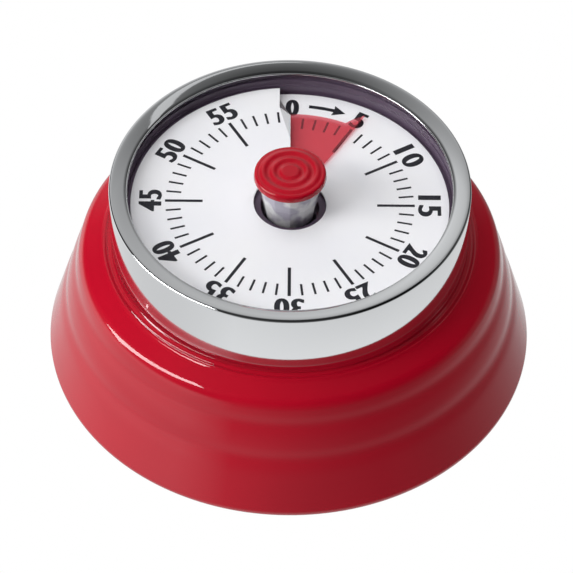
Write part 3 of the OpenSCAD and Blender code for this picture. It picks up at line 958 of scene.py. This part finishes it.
@dataclass
class TimeDisc:
    """Red film that threads through the dial's slit.

    Attributes:
        dial: The dial whose helix it shares.
        inner_r: Radius of its hole.
        outer_r: Its radius.
        pointer_r: Radius of the pointer's tip.
        sheet: Thickness.
        lead_deg: Where its leading edge is.
        flare_deg: Angle over which the rim runs out to the pointer.
        hub_r: Radius of the moulded hub, inside which the film takes the plum finish.
    """

    dial: Dial
    inner_r: float = 4.15
    outer_r: float = 17.8
    pointer_r: float = 20.5
    sheet: float = 0.2
    lead_deg: float = 31.4
    flare_deg: float = 5.0
    hub_r: float = 5.4

    def build(self) -> None:
        """Spin a radial strip back from the leading edge and draw out the pointer."""
        bm = bmesh.new()
        lift = self.dial.pitch / 2 - self.dial.sheet / 2
        z = self.dial.rise(self.lead_deg) + lift
        half = self.sheet / 2
        radii = [self.inner_r, self.hub_r, 8.0, 12.0, 15.0, self.outer_r]
        ring = [(r, z + half) for r in radii] + [(r, z - half) for r in reversed(radii)]
        verts = [bm.verts.new(on_circle(r, self.lead_deg, h)) for r, h in ring]
        face = bm.faces.new(verts)
        sweep = 359.5
        steps = 360
        bmesh.ops.spin(
            bm, geom=[face, *face.edges, *face.verts], cent=(0, 0, 0), axis=(0, 0, 1),
            dvec=(0, 0, -self.dial.pitch * sweep / 360 / steps * MM), angle=math.radians(sweep),
            space=Matrix.Identity(4), steps=steps, use_merge=False, use_normal_flip=False,
            use_duplicate=False,
        )
        self.draw_pointer(bm)
        bmesh.ops.recalc_face_normals(bm, faces=bm.faces)
        disc = to_object(bm, "time_disc_film", 50)
        dress(disc, Film(), Body.FILM)
        disc.data.materials.append(PLUM.build())
        for face in disc.data.polygons:
            if face.center.to_2d().length < self.hub_r * MM:
                face.material_index = 1
        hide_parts("time_disc")

    def draw_pointer(self, bm: bmesh.types.BMesh) -> None:
        """Pull the rim near the leading edge out to the pointer's tip."""
        upper = (self.dial.rise(self.lead_deg) + self.dial.pitch / 4) * MM
        for vert in bm.verts:
            radius = math.hypot(vert.co.x, vert.co.y) / MM
            angle = math.degrees(math.atan2(vert.co.x, vert.co.y)) % 360
            share = (angle - self.lead_deg + self.flare_deg) / self.flare_deg
            if radius < self.outer_r - 0.1 or not 0 < share < 1.001 or vert.co.z < upper:
                continue
            reach = self.outer_r + (self.pointer_r - self.outer_r) * share**0.85
            vert.co.x *= reach / radius
            vert.co.y *= reach / radius


# ---------------------------------------------------------------- knob


@dataclass
class Knob:
    """Clear window and faceted stem with a red rippled cap.

    Attributes:
        cap_r: Radius of the cap.
        cap_z: Height of the cap's underside.
        cap_h: Height of the cap above that, without the ripples.
        ripple: Height of the ripples.
        button_r: Radius of the raised button in the middle.
        ring_gap: Distance from the button's rim to the first ring, and from ring to ring.
        stem_top_r: Radius of the stem at its top.
        stem_low_r: Radius of the stem at its lower end.
        facets: Number of flats round the stem.
        window_r: Radius of the window.
        window_z: Height of the window's underside.
        window_t: Thickness of the window.
        spigot_r: Radius of the spigot under the cap.
        spigot_h: Height of that spigot.
        spigot_gap: Gap between the stem's top and the cap.
        stem_low_z: Height of the stem's lower end.
    """

    cap_r: float = 5.1
    cap_z: float = 34.0
    cap_h: float = 1.2
    ripple: float = 0.2
    button_r: float = 1.04
    ring_gap: float = 1.38
    stem_top_r: float = 4.5
    stem_low_r: float = 3.6
    facets: int = 12
    window_r: float = 24.6
    window_z: float = 30.85
    window_t: float = 0.7
    spigot_r: float = 1.2
    spigot_h: float = 1.1
    spigot_gap: float = 0.01
    stem_low_z: float = 27.2

    def build(self) -> None:
        """Build the three pieces."""
        self.build_cap()
        stem = self.build_stem()
        window = self.build_window()
        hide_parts("window_knob")
        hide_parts("window_knob")

    def build_cap(self) -> None:
        """Spin the cap with its raised button and two rings."""
        flat_r = self.cap_r - 0.42
        count = 90
        outline = [(self.spigot_r, self.cap_z - self.spigot_h), (self.spigot_r, self.cap_z)]
        outline += [(self.cap_r - 0.3, self.cap_z)]
        outline += arc((self.cap_r - 0.3, self.cap_z + 0.3), 0.3, -75, 15, 6)
        outline += arc((self.cap_r - 0.46, self.cap_z + self.cap_h - 0.4), 0.4, 20, 88, 6)
        outline += [
            (flat_r * (1 - i / count), self.cap_z + self.cap_h + self.wave(flat_r * (1 - i / count)))
            for i in range(1, count + 1)
        ]
        outline += [(0.0, self.cap_z - self.spigot_h)]
        cap = to_object(spin_outline(outline, 128), "knob_cap_rippled", 40)
        dress(cap, CAP_ABS, Body.KNOB)
        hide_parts("knob_cap")

    def wave(self, radius: float) -> float:
        """Height of the ripples at a radius, full on the button and on the crest of each ring."""
        beyond = max(radius - self.button_r, 0.0)
        return self.ripple * (1 + math.cos(2 * math.pi * beyond / self.ring_gap)) / 2

    def build_stem(self) -> bpy.types.Object:
        """Build the faceted stem that widens towards the cap."""
        bm = bmesh.new()
        low_z, top_z = self.stem_low_z, self.cap_z - self.spigot_gap
        bmesh.ops.create_cone(
            bm, cap_ends=True, cap_tris=False, segments=self.facets, radius1=self.stem_low_r * MM,
            radius2=self.stem_top_r * MM, depth=(top_z - low_z) * MM,
            matrix=Matrix.Translation((0, 0, (top_z + low_z) / 2 * MM)),
        )
        bmesh.ops.bevel(
            bm, geom=list(bm.edges), offset=0.12 * MM, segments=2, profile=0.5,
            affect="EDGES", material=-1,
        )
        return self.finish_clear(bm, "knob_stem_faceted", ClearPlastic("clear_acrylic_stem", False))

    def build_window(self) -> bpy.types.Object:
        """Build the flat pane with a hole for the stem."""
        outline = rounded(
            [
                (self.stem_low_r + 0.32, self.window_z, 0.05),
                (self.window_r, self.window_z, 0.08),
                (self.window_r, self.window_z + self.window_t, 0.2),
                (self.stem_low_r + 0.32, self.window_z + self.window_t, 0.05),
            ]
        )
        bm = spin_outline(outline, 160)
        return self.finish_clear(bm, "window_pane", ClearPlastic("clear_acrylic_pane", True, alpha=0.06))

    @staticmethod
    def finish_clear(bm: bmesh.types.BMesh, name: str, finish: ClearPlastic) -> bpy.types.Object:
        """Make a clear piece of the knob from its bmesh."""
        made = to_object(bm, name, 25)
        dress(made, finish, Body.KNOB)
        return made


# ---------------------------------------------------------------- base and movement


@dataclass
class Base:
    """Soft foot ring.

    Attributes:
        foot_r: Outer radius of the foot ring.
        foot_w: Width of the foot ring.
    """

    foot_r: float = 31.2
    foot_w: float = 2.4

    def build(self) -> None:
        """Build the foot ring."""
        outline = rounded(
            [
                (self.foot_r - self.foot_w, 0.0, 0.25),
                (self.foot_r, 0.0, 0.25),
                (self.foot_r, 1.0, 0.05),
                (self.foot_r - self.foot_w, 1.0, 0.05),
            ]
        )
        foot = to_object(spin_outline(outline, 160), "foot_ring_soft", 40)
        dress(foot, RUBBER, Body.CASE)
        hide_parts("foot_ring")


@dataclass
class Movement:
    """Gives every carried-over node its finish."""

    nodes: dict

    PARTS = {
        PLUM: ("dial_seat",),
        BLACK_ABS: ("base_plate",),
        STEEL: (
            "main_arbor", "zero_cam", "ratchet_wheel", "click", "click_rivet", "spring_post",
            "pallet_lever", "pillar_nuts", "housing_screws", "hammer", "bell_screw",
            "backing_screws", "base_screws",
        ),
        PLATE: ("lower_plate", "upper_plate", "magnet_backing"),
        BRASS: (
            "main_wheel", "second_wheel", "third_wheel", "escape_wheel", "balance_wheel",
            "hairspring_stud", "pillars", "bell_post",
        ),
        BLUED: ("click_spring", "mainspring", "hairspring"),
        NICKEL: ("bell",),
        FERRITE: ("magnet_ring",),
    }

    def build(self) -> None:
        """Assign the finishes."""
        for finish, names in self.PARTS.items():
            material = finish.build()
            for name in names:
                obj = self.nodes[name]
                for used in obj.material_slots:
                    used.material = material
                if not obj.material_slots:
                    obj.data.materials.append(material)
            LOG.info("%s: %s", finish.name, ", ".join(names))


# ---------------------------------------------------------------- studio


@dataclass(frozen=True)
class SoftBox:
    """One rectangular lamp that faces the object.

    Attributes:
        name: Name of the lamp.
        place: Where it hangs, in metres.
        length: Longer side in metres.
        width: Shorter side in metres.
        power: Watts.
        along: Direction of the longer side.
        mirrored: Whether gloss surfaces show it.
    """

    name: str
    place: tuple[float, float, float]
    length: float
    width: float
    power: float
    along: tuple[float, float, float] = (1.0, 0.0, 0.0)
    mirrored: bool = True

    def build(self) -> None:
        """Hang the lamp."""
        data = bpy.data.lights.new(self.name, "AREA")
        data.shape = "RECTANGLE"
        data.size = self.length
        data.size_y = self.width
        data.energy = self.power
        lamp = bpy.data.objects.new(self.name, data)
        back = (Vector(self.place) - Vector((0, 0, 0.02))).normalized()
        side = Vector(self.along)
        side = (side - back * side.dot(back)).normalized()
        turn = Matrix((side, back.cross(side), back)).transposed().to_4x4()
        lamp.matrix_world = Matrix.Translation(self.place) @ turn
        lamp.visible_glossy = self.mirrored
        bpy.context.scene.collection.objects.link(lamp)


@dataclass
class Studio:
    """Pale sweep, soft boxes and the camera.

    Attributes:
        camera_at: Place of the camera in metres.
        pitch_deg: Tilt of the view below the horizon.
        roll_deg: Roll of the camera.
        lens: Focal length for a 36 mm sensor.
    """

    camera_at: tuple[float, float, float] = (-0.00038, -0.3401, 0.3868)
    pitch_deg: float = 47.83
    roll_deg: float = 0.5
    lens: float = 220.2
    lamps: tuple[SoftBox, ...] = (
        SoftBox("key_strip", (-0.495, -0.149, 0.305), 0.58, 0.15, 3.3, along=(0.488, -0.448, 0.573)),
        SoftBox("rim_strip", (0.14, 0.28, 0.52), 0.3, 0.05, 0.02, along=(1.0, -0.3, 0.0)),
        SoftBox("ceiling_bounce", (-0.1, 0.0, 0.9), 1.0, 1.0, 7.2, mirrored=False),
    )

    def build(self) -> None:
        """Set the whole studio."""
        self.build_camera()
        self.build_floor()
        self.build_world()
        for lamp in self.lamps:
            lamp.build()
        bpy.context.scene.view_settings.view_transform = "Standard"
        bpy.context.scene.cycles.use_denoising = True

    def build_camera(self) -> None:
        """Place the camera."""
        data = bpy.data.cameras.new("camera")
        data.lens = self.lens
        data.sensor_width = 36
        data.clip_start = 0.01
        camera = bpy.data.objects.new("camera", data)
        tilt = Matrix.Rotation(math.radians(90 - self.pitch_deg), 4, "X")
        roll = Matrix.Rotation(math.radians(self.roll_deg), 4, "Z")
        camera.matrix_world = Matrix.Translation(self.camera_at) @ tilt @ roll
        bpy.context.scene.collection.objects.link(camera)
        bpy.context.scene.camera = camera

    def build_floor(self) -> None:
        """Lay a white sweep under the object."""
        bm = bmesh.new()
        bmesh.ops.create_grid(bm, x_segments=1, y_segments=1, size=4.0)
        floor = to_object(bm, "floor")
        material = bpy.data.materials.new("white_sweep")
        material.use_nodes = True
        tree = material.node_tree
        tree.nodes.clear()
        glow = add_node(
            tree, "ShaderNodeEmission", inputs={"Color": (1, 1, 1, 1), "Strength": 1.0}
        )
        add_node(tree, "ShaderNodeOutputMaterial", inputs={"Surface": glow.outputs[0]})
        floor.data.materials.append(material)
        floor.visible_glossy = False

    def build_world(self) -> None:
        """Surround the object with a pale floor, a pale wall behind and a dark room above."""
        world = bpy.data.worlds.new("studio_world")
        bpy.context.scene.world = world
        world.use_nodes = True
        tree = world.node_tree
        tree.nodes.clear()
        way = add_node(tree, "ShaderNodeTexCoord").outputs["Generated"]
        split = add_node(tree, "ShaderNodeSeparateXYZ", inputs={"Vector": way})
        height = add_node(
            tree, "ShaderNodeMapRange", inputs={"Value": split.outputs["Z"], "From Min": -1.0}
        ).outputs["Result"]
        front = self.ramp(tree, height, self.front_stops)
        back = self.ramp(tree, height, self.back_stops)
        share = add_node(
            tree, "ShaderNodeMapRange",
            inputs={"Value": split.outputs["Y"], "From Min": -0.25, "From Max": 0.35},
        ).outputs["Result"]
        across = add_node(
            tree, "ShaderNodeMix", {"data_type": "RGBA"}, {"Factor": share, 6: front, 7: back}
        ).outputs[2]
        leftwards = add_node(
            tree, "ShaderNodeMapRange",
            inputs={"Value": split.outputs["X"], "From Min": -0.4, "From Max": -0.7},
        ).outputs["Result"]
        left = self.ramp(tree, height, self.left_stops)
        around = add_node(
            tree, "ShaderNodeMix", {"data_type": "RGBA"}, {"Factor": leftwards, 6: across, 7: left}
        )
        slope = add_node(
            tree, "ShaderNodeMapRange",
            inputs={"Value": split.outputs["X"], "From Min": -0.5, "From Max": 0.6,
                    "To Min": 1.05, "To Max": 0.3},
        ).outputs["Result"]
        clear_of_floor = add_node(
            tree, "ShaderNodeMapRange",
            inputs={"Value": split.outputs["Z"], "From Min": -0.75, "From Max": -0.4},
        ).outputs["Result"]
        sides = add_node(
            tree, "ShaderNodeMix", inputs={"Factor": clear_of_floor, 2: 1.0, 3: slope}
        ).outputs[0]
        aside = add_node(
            tree, "ShaderNodeMath", {"operation": "ABSOLUTE"}, {0: split.outputs["X"]}
        ).outputs["Value"]
        wall = add_node(
            tree, "ShaderNodeMapRange",
            inputs={"Value": aside, "From Min": 0.34, "From Max": 0.58, "To Min": 0.0, "To Max": 0.8},
        ).outputs["Result"]
        rise = add_node(
            tree, "ShaderNodeMapRange",
            inputs={"Value": split.outputs["Z"], "From Min": 0.0, "From Max": 0.2},
        ).outputs["Result"]
        dim = add_node(
            tree, "ShaderNodeMath", {"operation": "MULTIPLY"}, {0: wall, 1: rise}
        ).outputs["Value"]
        kept = add_node(
            tree, "ShaderNodeMath", {"operation": "SUBTRACT"}, {0: 1.0, 1: dim}
        ).outputs["Value"]
        strength = add_node(
            tree, "ShaderNodeMath", {"operation": "MULTIPLY"}, {0: sides, 1: kept}
        ).outputs["Value"]
        sky = add_node(
            tree, "ShaderNodeBackground", inputs={"Color": around.outputs[2], "Strength": strength}
        )
        add_node(tree, "ShaderNodeOutputWorld", inputs={"Surface": sky.outputs[0]})

    front_stops: tuple[tuple[float, float], ...] = (
        (0.0, 0.88), (0.13, 0.86), (0.36, 0.27), (0.5, 0.16), (0.75, 0.04), (1.0, 0.04),
    )
    back_stops: tuple[tuple[float, float], ...] = (
        (0.0, 0.9), (0.13, 0.8), (0.3, 0.6), (0.5, 0.6), (0.72, 0.85), (0.84, 0.7), (0.88, 0.5),
        (0.97, 0.15), (1.0, 0.04),
    )

    left_stops: tuple[tuple[float, float], ...] = (
        (0.0, 0.8), (0.13, 0.7), (0.28, 0.75), (0.36, 1.05), (0.46, 0.95), (0.52, 0.35), (0.6, 0.15),
        (1.0, 0.04),
    )

    @staticmethod
    def ramp(
        tree: bpy.types.NodeTree, height: Socket, stops: Sequence[tuple[float, float]]
    ) -> Socket:
        """Add a grey ramp.

        Args:
            tree: The node tree.
            height: 0 straight down, 1 straight up.
            stops: Position and grey of each stop.

        Returns:
            The colour.
        """
        made = add_node(tree, "ShaderNodeValToRGB", inputs={"Fac": height})
        marks = made.color_ramp.elements
        while len(marks) < len(stops):
            marks.new(0.5)
        for mark, (place, grey) in zip(marks, stops):
            mark.position = place
        for mark, (place, grey) in zip(marks, stops):
            mark.color = (grey, grey, grey, 1)
        return made.outputs["Color"]


def main() -> None:
    """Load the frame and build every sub-assembly in order."""
    logging.basicConfig(level=logging.INFO, format="%(name)s: %(message)s")
    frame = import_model()
    dial = Dial()
    BodyShell().build()
    Bezel().build()
    DialHousing().build()
    dial.build()
    TimeDisc(dial).build()
    Knob().build()
    Base().build()
    Movement(frame["nodes"]).build()
    Studio().build()


if __name__ == "__main__":
    main()
